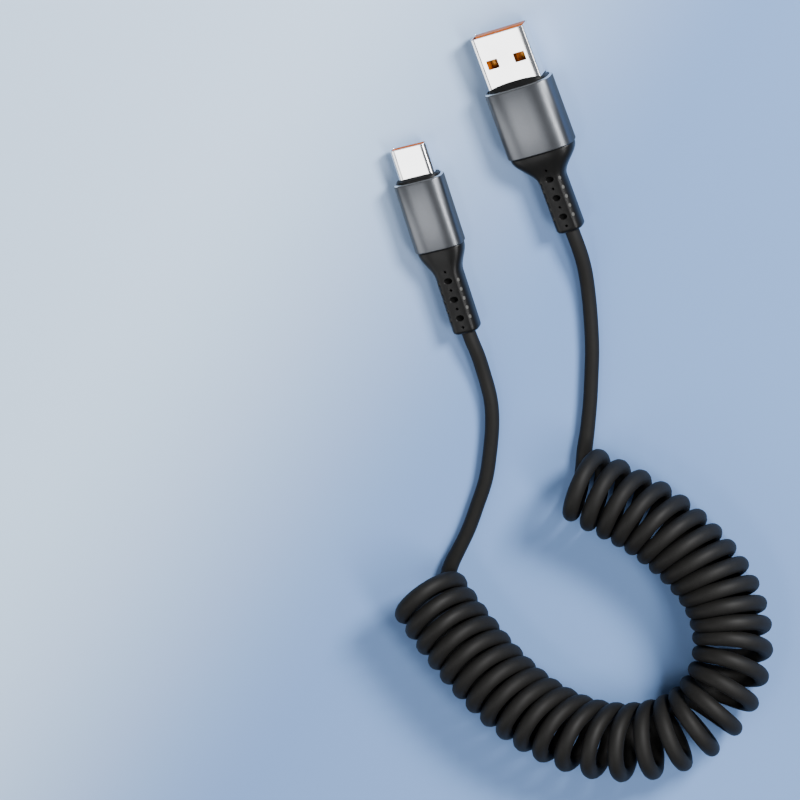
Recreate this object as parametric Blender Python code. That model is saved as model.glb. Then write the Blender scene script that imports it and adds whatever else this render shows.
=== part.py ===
"""Coiled charging cable lying unheld on a level floor.

Two moulded plugs, a wide rectangular one for a charger and a small oval one for a phone, are joined by
one black cord: a plain lead at each plug and a curly stretch of 33 turns between them, laid in a U.
Metres, +Z up. The floor is z = 0, and the origin is the middle of the box around the two plugs.
Each plug is made in a frame of its own: +Y out of its mouth, X across its width, and Y = 0 at the tail
end of its boot, where the cord comes out.
"""
import math

import bmesh
import bpy
import numpy as np
from mathutils import Matrix

MM = 0.001

# Clearances
FIT = 0.1 * MM             # between pieces pressed into each other inside a plug
CORD_GAP = 0.3 * MM        # between the cord's solids and what they meet
SIDE_FLAT = 0.05 * MM      # half of the flat left on a full-round side, so that its corners stay apart
CROWN_POWER = 3.0          # how square the crowned ovals of sleeves and boots are: 2 is an ellipse
CROWN_FLAT = 3.0 * MM      # width of the flat along the middle of their broad faces
OVERCUT = 1.0 * MM         # how far a cutter reaches past the face that it opens

# Charger plug, the wide rectangular one
CHARGER_SHELL_WIDTH = 12.0 * MM
CHARGER_SHELL_HEIGHT = 4.5 * MM
CHARGER_SHELL_WALL = 0.3 * MM
CHARGER_SHELL_CORNER = 0.6 * MM
CHARGER_SHELL_REACH = 12.1 * MM       # shell in front of the sleeve
CHARGER_SHELL_ROOT = 5.0 * MM         # shell inside the holder
TONGUE_HEIGHT = 1.84 * MM
TONGUE_SETBACK = 0.05 * MM            # tongue behind the mouth of the shell
TONGUE_BLOCK_LENGTH = 6.0 * MM        # thick rear of the tongue, which fills the shell
TONGUE_INSET = 0.1 * MM               # blade inside the block's outline at its sides and underside
WINDOW_WIDTH = 2.5 * MM               # latch windows in the broad walls of the shell
WINDOW_LENGTH = 2.0 * MM
WINDOW_SPACING = 6.1 * MM
WINDOW_SETBACK = 5.2 * MM             # from the mouth to the near edge of a window
CONTACT_COUNT = 4
CONTACT_WIDTH = 1.1 * MM
CONTACT_THICKNESS = 0.2 * MM
CONTACT_LENGTH = 6.6 * MM
CONTACT_PITCH = 2.3 * MM
CONTACT_SETBACK = 1.2 * MM            # from the tongue's front edge
CHARGER_HOLDER_RECESS = 0.5 * MM      # holder behind the rim of the sleeve
CHARGER_HOLDER_SIDE = 0.7 * MM        # holder beside the shell
CHARGER_HOLDER_TOP = 1.05 * MM        # holder over and under the shell
CHARGER_SLEEVE_LENGTH = 15.0 * MM
CHARGER_BOOT_LENGTH = 18.4 * MM
CHARGER_SHOULDER_LENGTH = 7.0 * MM

# Phone plug, the small oval one
PHONE_SHELL_WIDTH = 8.25 * MM
PHONE_SHELL_HEIGHT = 2.4 * MM
PHONE_SHELL_WALL = 0.3 * MM
PHONE_SHELL_REACH = 7.3 * MM          # shell in front of the sleeve
PHONE_SHELL_ROOT = 4.0 * MM
INSERT_SETBACK = 0.05 * MM
SLOT_HEIGHT = 0.8 * MM                # slot in the insert, where the phone's own tongue goes in
SLOT_WIDTH = 6.7 * MM
SLOT_DEPTH = 5.4 * MM
PHONE_HOLDER_PROUD = 0.6 * MM         # holder in front of the rim of the sleeve
PHONE_HOLDER_SIDE = 0.575 * MM
PHONE_HOLDER_TOP = 1.25 * MM
PHONE_SLEEVE_LENGTH = 15.6 * MM
PHONE_BOOT_LENGTH = 19.4 * MM
PHONE_SHOULDER_LENGTH = 6.5 * MM

# Both plugs
SLEEVE_WALL = 0.6 * MM
SLEEVE_CHAMFER = 0.3 * MM
HOLDER_LENGTH = 7.0 * MM
HOLDER_ROUND = 0.4 * MM
BOOT_NECK_LENGTH = 5.0 * MM           # boot inside the sleeve
BOOT_STEP = 0.35 * MM                 # boot's shoulder inside the outline of the sleeve
TAIL_WIDTH = 6.0 * MM
TAIL_HEIGHT = 5.2 * MM
TAIL_END_ROUND = 0.7 * MM

# Flex openings of the boots, from the tail end: holes along both broad faces and pips along their edges
FLEX_PITCH = 2.13 * MM
FLEX_START = 1.55 * MM
FLEX_COUNT = 7                        # small and large by turns, small first
LARGE_WIDTH = 1.6 * MM
LARGE_LENGTH = 1.15 * MM
SMALL_SIZE = 0.55 * MM
FLEX_DEPTH = 0.9 * MM
PIP_COUNT = 5
PIP_START = 3.5 * MM
PIP_PITCH = 2.1 * MM
PIP_ASIDE = 2.25 * MM                 # from the middle of the broad face
PIP_LENGTH = 0.95 * MM
PIP_WIDTH = 0.7 * MM
PIP_DEPTH = 0.35 * MM

# Cord
LEAD_DIAMETER = 3.1 * MM
COIL_OUTER_DIAMETER = 17.3 * MM
COIL_END_REACH = 2.0 * MM             # solid past the end of the axis, to take in the leaning end turn
LEAD_POINT_COUNT = 22                 # points along each lead's tube
COIL_POINT_COUNT = 52                 # points along the coil's solid
ROUTE_STEP_COUNT = 600                # fine steps in which a smooth route is measured

# Where the plugs lie: tail end of the boot, and the way the mouth points, anticlockwise from +X
CHARGER_TAIL = (18.53 * MM, -9.59 * MM)
CHARGER_HEADING = math.radians(110.6)
PHONE_TAIL = (-4.03 * MM, -34.4 * MM)
PHONE_HEADING = math.radians(108.1)

# Routes of the cord's centreline in millimetres, chosen by hand
CHARGER_LEAD_ROUTE = [
    (18.53, -9.59, 4.1), (19.21, -11.48, 4), (20.51, -15.68, 3.3), (21.31, -19.78, 2.5),
    (21.81, -24.18, 1.9), (22.21, -28.48, 1.65), (22.51, -32.68, 1.6), (22.71, -37.48, 1.6),
    (22.61, -42.58, 1.6), (22.41, -48.58, 1.6), (22.11, -52.68, 1.62), (21.71, -56.78, 1.7),
    (21.31, -60.08, 1.78), (21.11, -62.38, 1.78), (21.01, -63.98, 1.78)]
PHONE_LEAD_ROUTE = [
    (-4.03, -34.4, 3.25), (-3.29, -36.38, 3.2), (-1.89, -40.28, 2.6), (-0.69, -44.78, 1.9),
    (0.51, -49.48, 1.65), (1.01, -54.48, 1.6), (0.81, -59.58, 1.6), (0.41, -63.58, 1.6),
    (-0.39, -68.78, 1.6), (-1.99, -74.08, 1.6), (-4.09, -80.38, 1.65), (-6.69, -86.18, 1.74),
    (-8.19, -89.88, 1.78), (-9.19, -92.38, 1.78), (-10.19, -94.38, 1.78)]

# Axis of the curly stretch in millimetres, from the charger's end
COIL_AXIS = [
    (20.61, -64.08), (22.61, -65.18), (34.41, -70.48), (44.41, -77.38), (51.81, -85.78), (55.41, -96.38),
    (54.01, -107.78), (48.01, -116.98), (38.21, -122.58), (26.61, -123.78), (9.91, -117.38),
    (-1.59, -106.48), (-10.79, -94.38), (-11.99, -92.48)]


def clear_scene():
    """Start from an empty scene."""
    for old in list(bpy.data.objects):
        bpy.data.objects.remove(old)


def material(name, colour, roughness, metallic=0.0):
    """A plain Principled material in the colour seen on the real piece."""
    mat = bpy.data.materials.new(name)
    mat.use_nodes = True
    shader = mat.node_tree.nodes["Principled BSDF"]
    shader.inputs["Base Color"].default_value = (*colour, 1.0)
    shader.inputs["Roughness"].default_value = roughness
    shader.inputs["Metallic"].default_value = metallic
    mat.diffuse_color = (*colour, 1.0)
    return mat


def rounded(width, height, radius, centre_z=0.0, steps=5):
    """Outline (x, z) of a rounded rectangle. A radius of half the height gives full-round sides."""
    radius = min(radius, width / 2 - SIDE_FLAT, height / 2 - SIDE_FLAT)
    corners = ((1, 1), (-1, 1), (-1, -1), (1, -1))
    outline = []
    for corner, (side_x, side_z) in enumerate(corners):
        for step in range(steps + 1):
            angle = math.radians(90) * (corner + step / steps)
            outline.append((side_x * (width / 2 - radius) + radius * math.cos(angle),
                            centre_z + side_z * (height / 2 - radius) + radius * math.sin(angle)))
    return outline


def full_round(width, height):
    """Outline of a bar with full-round sides."""
    return rounded(width, height, height / 2)


def crowned(width, height, steps=6):
    """Outline (x, z) of a crowned oval with a flat along the middle of its top and its underside."""
    flat_share = CROWN_FLAT / width
    crown = height / 2 / (1 - flat_share ** CROWN_POWER) ** (1 / CROWN_POWER)
    end = math.asin((height / 2 / crown) ** (CROWN_POWER / 2))
    quarter = []
    for step in range(steps + 1):
        angle = end * step / steps
        quarter.append((width / 2 * math.cos(angle) ** (2 / CROWN_POWER), crown * math.sin(angle) ** (2 / CROWN_POWER)))
    return (quarter + [(-x, z) for x, z in reversed(quarter)] + [(-x, -z) for x, z in quarter[1:]]
            + [(x, -z) for x, z in reversed(quarter[1:])])


def crown_height(width, height, aside):
    """Height over the middle and tilt outward of a crowned oval's surface, so far from its middle line."""
    crown = height / 2 / (1 - (CROWN_FLAT / width) ** CROWN_POWER) ** (1 / CROWN_POWER)
    up = crown * (1 - (aside / (width / 2)) ** CROWN_POWER) ** (1 / CROWN_POWER)
    outward = (aside / (width / 2)) ** (CROWN_POWER - 1) / (width / 2)
    return up, math.atan2(outward, (up / crown) ** (CROWN_POWER - 1) / crown)


def add_loft(bm, sections, place=None):
    """Add one closed body to bm through sections (y, outline), capped at both ends."""
    rings = []
    for y, outline in sections:
        rings.append([bm.verts.new((x, y, z)) for x, z in outline])
    faces = [bm.faces.new(rings[0]), bm.faces.new(list(reversed(rings[-1])))]
    for near, far in zip(rings, rings[1:]):
        count = len(near)
        for i in range(count):
            faces.append(bm.faces.new((near[i], far[i], far[(i + 1) % count], near[(i + 1) % count])))
    if place is not None:
        bmesh.ops.transform(bm, matrix=place, verts=[v for ring in rings for v in ring])
    bmesh.ops.recalc_face_normals(bm, faces=faces)


def mesh_object(name, bm, parent=None, mat=None):
    """Turn bm into a named object, shaded smooth with sharp edges where it turns sharply."""
    mesh = bpy.data.meshes.new(name)
    bm.to_mesh(mesh)
    bm.free()
    mesh.shade_smooth()
    mesh.set_sharp_from_angle(angle=math.radians(30))
    piece = bpy.data.objects.new(name, mesh)
    bpy.context.scene.collection.objects.link(piece)
    piece.parent = parent
    if mat is not None:
        mesh.materials.append(mat)
    return piece


def loft(name, sections, parent=None, mat=None):
    """One closed body through sections (y, outline)."""
    bm = bmesh.new()
    add_loft(bm, sections)
    return mesh_object(name, bm, parent, mat)


def cutter(name, lofts, parent):
    """A guide that only cuts: closed bodies, each given as (sections, placing matrix)."""
    bm = bmesh.new()
    for sections, place in lofts:
        add_loft(bm, sections, place)
    guide = mesh_object(name, bm, parent)
    guide.hide_render = True
    guide.display_type = "WIRE"
    return guide


def cut(piece, guide):
    """Take the guide's volume out of the piece."""
    boolean = piece.modifiers.new("cut " + guide.name, "BOOLEAN")
    boolean.operation = "DIFFERENCE"
    boolean.solver = "EXACT"
    boolean.object = guide


def sleeve_size(shell_width, shell_height, side, top):
    """Outer size of the sleeve round a shell, with so much holder beside and over the shell."""
    around = 2 * (FIT + SLEEVE_WALL) + 2 * FIT
    return shell_width + 2 * side + around, shell_height + 2 * top + around


def sleeve(name, parent, mat, size, length, base):
    """Metal sleeve: a crowned tube with a bright chamfer at both rims. It starts at y = base."""
    width, height = size
    end = base + length
    slim = crowned(width - 2 * SLEEVE_CHAMFER, height - 2 * SLEEVE_CHAMFER)
    full = crowned(width, height)
    tube = loft(name, [(base, slim), (base + SLEEVE_CHAMFER, full), (end - SLEEVE_CHAMFER, full), (end, slim)],
                parent, mat)
    bore = crowned(width - 2 * SLEEVE_WALL, height - 2 * SLEEVE_WALL)
    guide = cutter(name + "_bore", [([(base - OVERCUT, bore), (end + OVERCUT, bore)], None)], parent)
    cut(tube, guide)
    return tube


def bore_fill(size):
    """Outline of a piece pressed into the bore of a sleeve of this outer size."""
    width, height = size
    return crowned(width - 2 * (SLEEVE_WALL + FIT), height - 2 * (SLEEVE_WALL + FIT))


def holder(name, parent, mat, size, front, shell_outline, shell_root):
    """Plastic holder pressed into the sleeve, with a rounded front face and a pocket for the shell."""
    width, height = (side - 2 * (SLEEVE_WALL + FIT) for side in size)
    full = bore_fill(size)
    slim = crowned(width - 2 * HOLDER_ROUND, height - 2 * HOLDER_ROUND)
    block = loft(name, [(front - HOLDER_LENGTH, full), (front - HOLDER_ROUND, full), (front, slim)], parent, mat)
    pocket = cutter(name + "_pocket",
                    [([(front - shell_root - FIT, shell_outline), (front + OVERCUT, shell_outline)], None)], parent)
    cut(block, pocket)
    return block


def boot_sections(size, length, shoulder_length):
    """Sections of a boot from its tail end up into the sleeve."""
    width, height = (side - 2 * BOOT_STEP for side in size)
    sections = []
    for angle in (0, 45, 90):
        inset = TAIL_END_ROUND * (1 - math.sin(math.radians(angle)))
        along = TAIL_END_ROUND * (1 - math.cos(math.radians(angle)))
        sections.append((along, crowned(TAIL_WIDTH - 2 * inset, TAIL_HEIGHT - 2 * inset)))
    steps = 9
    for step in range(steps + 1):
        share = step / steps
        ease = (1 - math.cos(math.pi * share)) / 2
        wide = TAIL_WIDTH + (width - TAIL_WIDTH) * ease
        high = TAIL_HEIGHT + (height - TAIL_HEIGHT) * ease
        sections.append((length - shoulder_length + (shoulder_length - FIT) * share, crowned(wide, high)))
    neck = bore_fill(size)
    sections.append((length - FIT, neck))
    sections.append((length + BOOT_NECK_LENGTH, neck))
    return sections


def flex_openings():
    """Holes along both broad faces of a boot's tail and pips along their edges, as (sections, place)."""
    openings = []
    pip_up, pip_tilt = crown_height(TAIL_WIDTH, TAIL_HEIGHT, PIP_ASIDE)
    for side in (1, -1):
        for i in range(FLEX_COUNT):
            large = i % 2 == 1
            wide, long = (LARGE_WIDTH, LARGE_LENGTH) if large else (SMALL_SIZE, SMALL_SIZE)
            outline = rounded(wide, long, long / 2, steps=2)
            middle = FLEX_START + i * FLEX_PITCH
            place = Matrix.Translation((0, middle, side * TAIL_HEIGHT / 2)) @ Matrix.Rotation(
                math.radians(90), 4, "X")
            openings.append(([(-FLEX_DEPTH, outline), (FLEX_DEPTH, outline)], place))
        for edge in (1, -1):
            for i in range(PIP_COUNT):
                outline = rounded(PIP_WIDTH, PIP_LENGTH, PIP_WIDTH / 2, steps=2)
                middle = PIP_START + i * PIP_PITCH
                place = (Matrix.Translation((edge * PIP_ASIDE, middle, side * pip_up))
                         @ Matrix.Rotation(edge * side * pip_tilt, 4, "Y")
                         @ Matrix.Rotation(math.radians(90), 4, "X"))
                openings.append(([(-PIP_DEPTH, outline), (PIP_DEPTH, outline)], place))
    return openings


def boot(name, parent, mat, size, length, shoulder_length):
    """Black strain relief moulded on the cord: shoulder, straight tail and flex openings."""
    body = loft(name, boot_sections(size, length, shoulder_length), parent, mat)
    cut(body, cutter(name + "_openings", flex_openings(), parent))
    return body


def shell_tube(name, parent, mat, size, corner, wall, start, mouth):
    """Thin metal shell of a plug, open at both ends."""
    width, height = size
    outer = rounded(width, height, corner)
    inner = rounded(width - 2 * wall, height - 2 * wall, corner - wall)
    tube = loft(name, [(start, outer), (mouth, outer)], parent, mat)
    cut(tube, cutter(name + "_bore", [([(start - OVERCUT, inner), (mouth + OVERCUT, inner)], None)], parent))
    return tube


def plug_frame(name, tail, heading, sleeve_height):
    """Empty that carries a plug: its +Y is the way the mouth points, and the sleeve lies on the floor."""
    frame = bpy.data.objects.new(name, None)
    bpy.context.scene.collection.objects.link(frame)
    frame.location = (*tail, sleeve_height / 2)
    frame.rotation_euler = (0, 0, heading - math.radians(90))
    return frame


def charger_plug(mats):
    """Wide rectangular plug."""
    size = sleeve_size(CHARGER_SHELL_WIDTH, CHARGER_SHELL_HEIGHT, CHARGER_HOLDER_SIDE, CHARGER_HOLDER_TOP)
    frame = plug_frame("charger_plug", CHARGER_TAIL, CHARGER_HEADING, size[1])
    rim = CHARGER_BOOT_LENGTH + CHARGER_SLEEVE_LENGTH
    mouth = rim + CHARGER_SHELL_REACH
    front = rim - CHARGER_HOLDER_RECESS
    root = front - CHARGER_SHELL_ROOT

    shell = shell_tube("charger_plug_shell", frame, mats["nickel"], (CHARGER_SHELL_WIDTH, CHARGER_SHELL_HEIGHT),
                       CHARGER_SHELL_CORNER, CHARGER_SHELL_WALL, root, mouth)
    window = rounded(WINDOW_WIDTH, WINDOW_LENGTH, 2 * SIDE_FLAT, steps=1)
    middle = mouth - WINDOW_SETBACK - WINDOW_LENGTH / 2
    reach = CHARGER_SHELL_HEIGHT / 2 + OVERCUT
    windows = []
    for side in (-1, 1):
        place = Matrix.Translation((side * WINDOW_SPACING / 2, middle, 0)) @ Matrix.Rotation(
            math.radians(90), 4, "X")
        windows.append(([(-reach, window), (reach, window)], place))
    cut(shell, cutter("charger_plug_windows", windows, frame))

    inner_width = CHARGER_SHELL_WIDTH - 2 * (CHARGER_SHELL_WALL + FIT)
    inner_height = CHARGER_SHELL_HEIGHT - 2 * (CHARGER_SHELL_WALL + FIT)
    inner_corner = CHARGER_SHELL_CORNER - CHARGER_SHELL_WALL
    block = rounded(inner_width, inner_height, inner_corner, steps=3)
    blade_top = -inner_height / 2 + TONGUE_INSET + TONGUE_HEIGHT
    blade = rounded(inner_width - 2 * TONGUE_INSET, TONGUE_HEIGHT, inner_corner, blade_top - TONGUE_HEIGHT / 2,
                    steps=3)
    block_end = root + TONGUE_BLOCK_LENGTH
    tongue_front = mouth - TONGUE_SETBACK
    tongue = loft("charger_plug_tongue", [(root, block), (block_end, block), (block_end, blade),
                                          (tongue_front, blade)], frame, mats["orange"])

    groove_floor = blade_top - CONTACT_THICKNESS / 2 - FIT
    contact_front = tongue_front - CONTACT_SETBACK
    contact_rear = contact_front - CONTACT_LENGTH
    grooves = []
    for i in range(CONTACT_COUNT):
        x = (i - (CONTACT_COUNT - 1) / 2) * CONTACT_PITCH
        low = groove_floor + FIT
        flat = [(x + sx * CONTACT_WIDTH / 2, z) for sx, z in
                ((1, low), (1, low + CONTACT_THICKNESS), (-1, low + CONTACT_THICKNESS), (-1, low))]
        loft(f"charger_plug_contact_{i + 1}", [(contact_rear, flat), (contact_front, flat)], frame, mats["gold"])
        wide = CONTACT_WIDTH / 2 + FIT
        groove = [(x + wide, groove_floor), (x + wide, blade_top + OVERCUT), (x - wide, blade_top + OVERCUT),
                  (x - wide, groove_floor)]
        grooves.append(([(contact_rear - FIT, groove), (contact_front + FIT, groove)], None))
    cut(tongue, cutter("charger_plug_grooves", grooves, frame))

    pocket = rounded(CHARGER_SHELL_WIDTH + 2 * FIT, CHARGER_SHELL_HEIGHT + 2 * FIT, CHARGER_SHELL_CORNER + FIT)
    holder("charger_plug_holder", frame, mats["black plastic"], size, front, pocket, CHARGER_SHELL_ROOT)
    sleeve("charger_plug_sleeve", frame, mats["aluminium"], size, CHARGER_SLEEVE_LENGTH, CHARGER_BOOT_LENGTH)
    boot("charger_plug_boot", frame, mats["black rubber"], size, CHARGER_BOOT_LENGTH, CHARGER_SHOULDER_LENGTH)


def phone_plug(mats):
    """Small oval plug."""
    size = sleeve_size(PHONE_SHELL_WIDTH, PHONE_SHELL_HEIGHT, PHONE_HOLDER_SIDE, PHONE_HOLDER_TOP)
    frame = plug_frame("phone_plug", PHONE_TAIL, PHONE_HEADING, size[1])
    rim = PHONE_BOOT_LENGTH + PHONE_SLEEVE_LENGTH
    mouth = rim + PHONE_SHELL_REACH
    front = rim + PHONE_HOLDER_PROUD
    root = front - PHONE_SHELL_ROOT

    shell_tube("phone_plug_shell", frame, mats["nickel"], (PHONE_SHELL_WIDTH, PHONE_SHELL_HEIGHT),
               PHONE_SHELL_HEIGHT / 2, PHONE_SHELL_WALL, root, mouth)
    fill = full_round(PHONE_SHELL_WIDTH - 2 * (PHONE_SHELL_WALL + FIT),
                      PHONE_SHELL_HEIGHT - 2 * (PHONE_SHELL_WALL + FIT))
    insert_front = mouth - INSERT_SETBACK
    insert = loft("phone_plug_insert", [(root, fill), (insert_front, fill)], frame, mats["orange"])
    slot = full_round(SLOT_WIDTH, SLOT_HEIGHT)
    cut(insert, cutter("phone_plug_slot",
                       [([(insert_front - SLOT_DEPTH, slot), (insert_front + OVERCUT, slot)], None)], frame))

    pocket = full_round(PHONE_SHELL_WIDTH + 2 * FIT, PHONE_SHELL_HEIGHT + 2 * FIT)
    holder("phone_plug_holder", frame, mats["black plastic"], size, front, pocket, PHONE_SHELL_ROOT)
    sleeve("phone_plug_sleeve", frame, mats["aluminium"], size, PHONE_SLEEVE_LENGTH, PHONE_BOOT_LENGTH)
    boot("phone_plug_boot", frame, mats["black rubber"], size, PHONE_BOOT_LENGTH, PHONE_SHOULDER_LENGTH)


def smooth_route(points):
    """Fine points of the natural cubic curve through the given points, in their own unit."""
    points = np.array(points, float)
    knots = np.concatenate([[0.0], np.cumsum(np.linalg.norm(np.diff(points, axis=0), axis=1))])
    spans = np.diff(knots)
    slopes = np.diff(points, axis=0) / spans[:, None]
    system = np.eye(len(points))
    bends = np.zeros_like(points)
    for i in range(1, len(points) - 1):
        system[i, i - 1:i + 2] = spans[i - 1], 2 * (spans[i - 1] + spans[i]), spans[i]
        bends[i] = 6 * (slopes[i] - slopes[i - 1])
    bends = np.linalg.solve(system, bends)
    fine = np.linspace(knots[0], knots[-1], ROUTE_STEP_COUNT)
    span = np.clip(np.searchsorted(knots, fine) - 1, 0, len(spans) - 1)
    left = (knots[span + 1] - fine)[:, None]
    right = (fine - knots[span])[:, None]
    size = spans[span][:, None]
    return ((bends[span] * left ** 3 + bends[span + 1] * right ** 3) / (6 * size)
            + (points[span] / size - bends[span] * size / 6) * left
            + (points[span + 1] / size - bends[span + 1] * size / 6) * right)


def evenly(path, count):
    """That many points, evenly spaced along a fine path."""
    along = np.concatenate([[0.0], np.cumsum(np.linalg.norm(np.diff(path, axis=0), axis=1))])
    stations = np.linspace(0, along[-1], count)
    return np.stack([np.interp(stations, along, path[:, axis]) for axis in range(3)], axis=1)


def coil_axis():
    """Fine path of the curly stretch's axis, long enough at both ends to take in its end turns."""
    height = COIL_OUTER_DIAMETER / 2
    path = smooth_route([(x * MM, y * MM, height) for x, y in COIL_AXIS])
    ends = []
    for tip, beside in ((path[0], path[1]), (path[-1], path[-2])):
        outward = (tip - beside) / np.linalg.norm(tip - beside)
        ends.append(tip + outward * COIL_END_REACH)
    return np.vstack([ends[0], path, ends[1]])


def lead_path(route, axis):
    """Stretch of a lead from the end of its boot to the side of the curly stretch's solid."""
    path = smooth_route([(x * MM, y * MM, z * MM) for x, y, z in route])
    keep_out = COIL_OUTER_DIAMETER / 2 + CORD_GAP
    start = np.linalg.norm(path - path[0], axis=1) >= CORD_GAP
    kept = []
    for here, beyond, clear in zip(path, path[1:], start):
        if not clear:
            continue
        ahead = (beyond - here) / np.linalg.norm(beyond - here)
        across = np.cross(ahead, (0, 0, 1))
        up = np.cross(across, ahead)
        rim = [here + LEAD_DIAMETER / 2 * (across * math.cos(a) + up * math.sin(a))
               for a in np.linspace(0, 2 * math.pi, 12, endpoint=False)]
        if min(np.linalg.norm(axis - point, axis=1).min() for point in rim) < keep_out:
            break
        kept.append(here)
    return np.array(kept)


def tube(name, points, radius, sides, mat):
    """Round solid along the points, with filled ends."""
    curve = bpy.data.curves.new(name, "CURVE")
    curve.dimensions = "3D"
    curve.twist_mode = "Z_UP"
    curve.bevel_depth = radius
    curve.bevel_resolution = (sides - 4) // 2
    curve.use_fill_caps = True
    curve.render_resolution_u = 0
    spline = curve.splines.new("POLY")
    spline.points.add(len(points) - 1)
    for target, place in zip(spline.points, points):
        target.co = (*place, 1.0)
    curve.materials.append(mat)
    piece = bpy.data.objects.new(name, curve)
    bpy.context.scene.collection.objects.link(piece)
    return piece


def cord(mats):
    """Both leads, and the curly stretch as one fat tube of its outer diameter."""
    axis = coil_axis()
    tube("coil", evenly(axis, COIL_POINT_COUNT), COIL_OUTER_DIAMETER / 2, 20, mats["black jacket"])
    for name, route in (("charger_lead", CHARGER_LEAD_ROUTE), ("phone_lead", PHONE_LEAD_ROUTE)):
        tube(name, evenly(lead_path(route, axis), LEAD_POINT_COUNT), LEAD_DIAMETER / 2, 8, mats["black jacket"])


def build():
    """The whole cable."""
    clear_scene()
    mats = {
        "nickel": material("polished nickel", (0.80, 0.80, 0.82), 0.15, 1.0),
        "orange": material("orange plastic", (0.80, 0.18, 0.03), 0.45),
        "gold": material("gold plate", (0.83, 0.60, 0.25), 0.25, 1.0),
        "black plastic": material("black plastic", (0.02, 0.02, 0.022), 0.4),
        "aluminium": material("grey anodised aluminium", (0.21, 0.22, 0.24), 0.35, 1.0),
        "black rubber": material("black moulded rubber", (0.012, 0.012, 0.013), 0.5),
        "black jacket": material("black cord jacket", (0.012, 0.012, 0.012), 0.6),
    }
    charger_plug(mats)
    phone_plug(mats)
    cord(mats)


build()
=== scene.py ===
# %% [markdown]
# # A coiled charging cable
# One black cord joins two moulded plugs: a wide rectangular one for a charger and a small oval one for a
# phone. Between two plain leads the cord is wound into a curly stretch, which lies in a U on the floor.
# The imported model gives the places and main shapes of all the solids. This script dresses them: it winds
# the real cord, gives each plug its fine edges, and finishes every surface with node materials.

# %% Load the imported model
import math

import bmesh
import bpy
import numpy as np
from mathutils import Matrix, Vector


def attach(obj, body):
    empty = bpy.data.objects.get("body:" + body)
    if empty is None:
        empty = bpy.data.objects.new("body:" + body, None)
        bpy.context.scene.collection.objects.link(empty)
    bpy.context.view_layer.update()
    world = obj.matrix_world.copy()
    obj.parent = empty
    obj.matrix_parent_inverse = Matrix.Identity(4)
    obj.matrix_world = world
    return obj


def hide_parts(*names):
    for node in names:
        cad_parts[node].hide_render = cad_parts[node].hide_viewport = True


MM = 0.001
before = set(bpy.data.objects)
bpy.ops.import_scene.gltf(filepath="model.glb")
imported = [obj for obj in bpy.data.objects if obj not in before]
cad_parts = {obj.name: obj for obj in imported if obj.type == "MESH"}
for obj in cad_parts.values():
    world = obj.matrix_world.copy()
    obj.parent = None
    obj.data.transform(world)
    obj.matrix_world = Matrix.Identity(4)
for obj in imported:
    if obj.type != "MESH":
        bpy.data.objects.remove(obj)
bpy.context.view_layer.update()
print("nodes in the packed model:", sorted(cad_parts))

# %% [markdown]
# ## The camera
# The photograph looks down on the cable from a long way off, so lines that run away from the viewer hardly
# close up. A long lens at almost a metre and a half does the same. The camera could be turned by hand, but
# a view direction and a point to look at say the same thing in numbers that can be read and changed.

# %% Place the camera
LOOKED_AT = Vector((-19.7, -52.66, 0.0)) * MM
LEANING_RIGHT, LEANING_UP = 0.22, 0.34      # of the line to the camera, to the right and up the picture
TOWARD_CAMERA = Vector((LEANING_RIGHT, LEANING_UP, math.sqrt(1 - LEANING_RIGHT ** 2 - LEANING_UP ** 2)))
CAMERA_DISTANCE = 1.43
PICTURE_WIDTH_THERE = 172.04 * MM
SENSOR_WIDTH = 36.0


def camera_turn(toward_camera):
    """Rotation of a camera that looks back along this direction and keeps +Y upright in the picture."""
    up = (Vector((0, 1, 0)) - toward_camera.y * toward_camera).normalized()
    right = up.cross(toward_camera)
    return Matrix((right, up, toward_camera)).transposed()


camera_data = bpy.data.cameras.new("camera")
camera_data.sensor_width = SENSOR_WIDTH
camera_data.lens = SENSOR_WIDTH * CAMERA_DISTANCE / PICTURE_WIDTH_THERE
camera_data.clip_start = 0.1
camera = bpy.data.objects.new("camera", camera_data)
camera.matrix_world = (Matrix.Translation(LOOKED_AT + TOWARD_CAMERA * CAMERA_DISTANCE)
                       @ camera_turn(TOWARD_CAMERA).to_4x4())
bpy.context.scene.collection.objects.link(camera)
bpy.context.scene.camera = camera
print("lens", round(camera_data.lens, 1), "mm")

# %% [markdown]
# ## The route of the cord
# A cord is springy, so it never has a corner. Each lead is given by a few points that it passes, and a
# cubic curve whose bend changes evenly is drawn through them, as a thin strip of steel would lie. The
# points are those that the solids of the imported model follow. Where a lead runs into the winding, the
# curve is told which way to leave, so that the join has no kink.

# %% Smooth curves through a few points
CHARGER_LEAD_ROUTE = [
    (18.53, -9.59, 4.1), (19.21, -11.48, 4), (20.51, -15.68, 3.3), (21.31, -19.78, 2.5),
    (21.81, -24.18, 1.9), (22.21, -28.48, 1.65), (22.51, -32.68, 1.6), (22.71, -37.48, 1.6),
    (22.61, -42.58, 1.6), (22.41, -48.58, 1.6), (22.11, -52.68, 1.62), (21.71, -56.78, 1.7),
    (21.31, -60.08, 1.78)]
PHONE_LEAD_ROUTE = [
    (-4.03, -34.4, 3.25), (-3.29, -36.38, 3.2), (-1.89, -40.28, 2.6), (-0.69, -44.78, 1.9),
    (0.51, -49.48, 1.65), (1.01, -54.48, 1.6), (0.81, -59.58, 1.6), (0.41, -63.58, 1.6),
    (-0.39, -68.78, 1.6), (-1.99, -74.08, 1.6), (-4.09, -80.38, 1.65), (-6.69, -86.18, 1.74),
    (-8.19, -89.88, 1.78)]
COIL_AXIS = [
    (20.61, -64.08), (22.61, -65.18), (34.41, -70.48), (44.41, -77.38), (51.81, -85.78), (55.41, -96.38),
    (54.01, -107.78), (48.01, -116.98), (38.21, -122.58), (26.61, -123.78), (9.91, -117.38),
    (-1.59, -106.48), (-10.79, -94.38), (-11.99, -92.48)]


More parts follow.
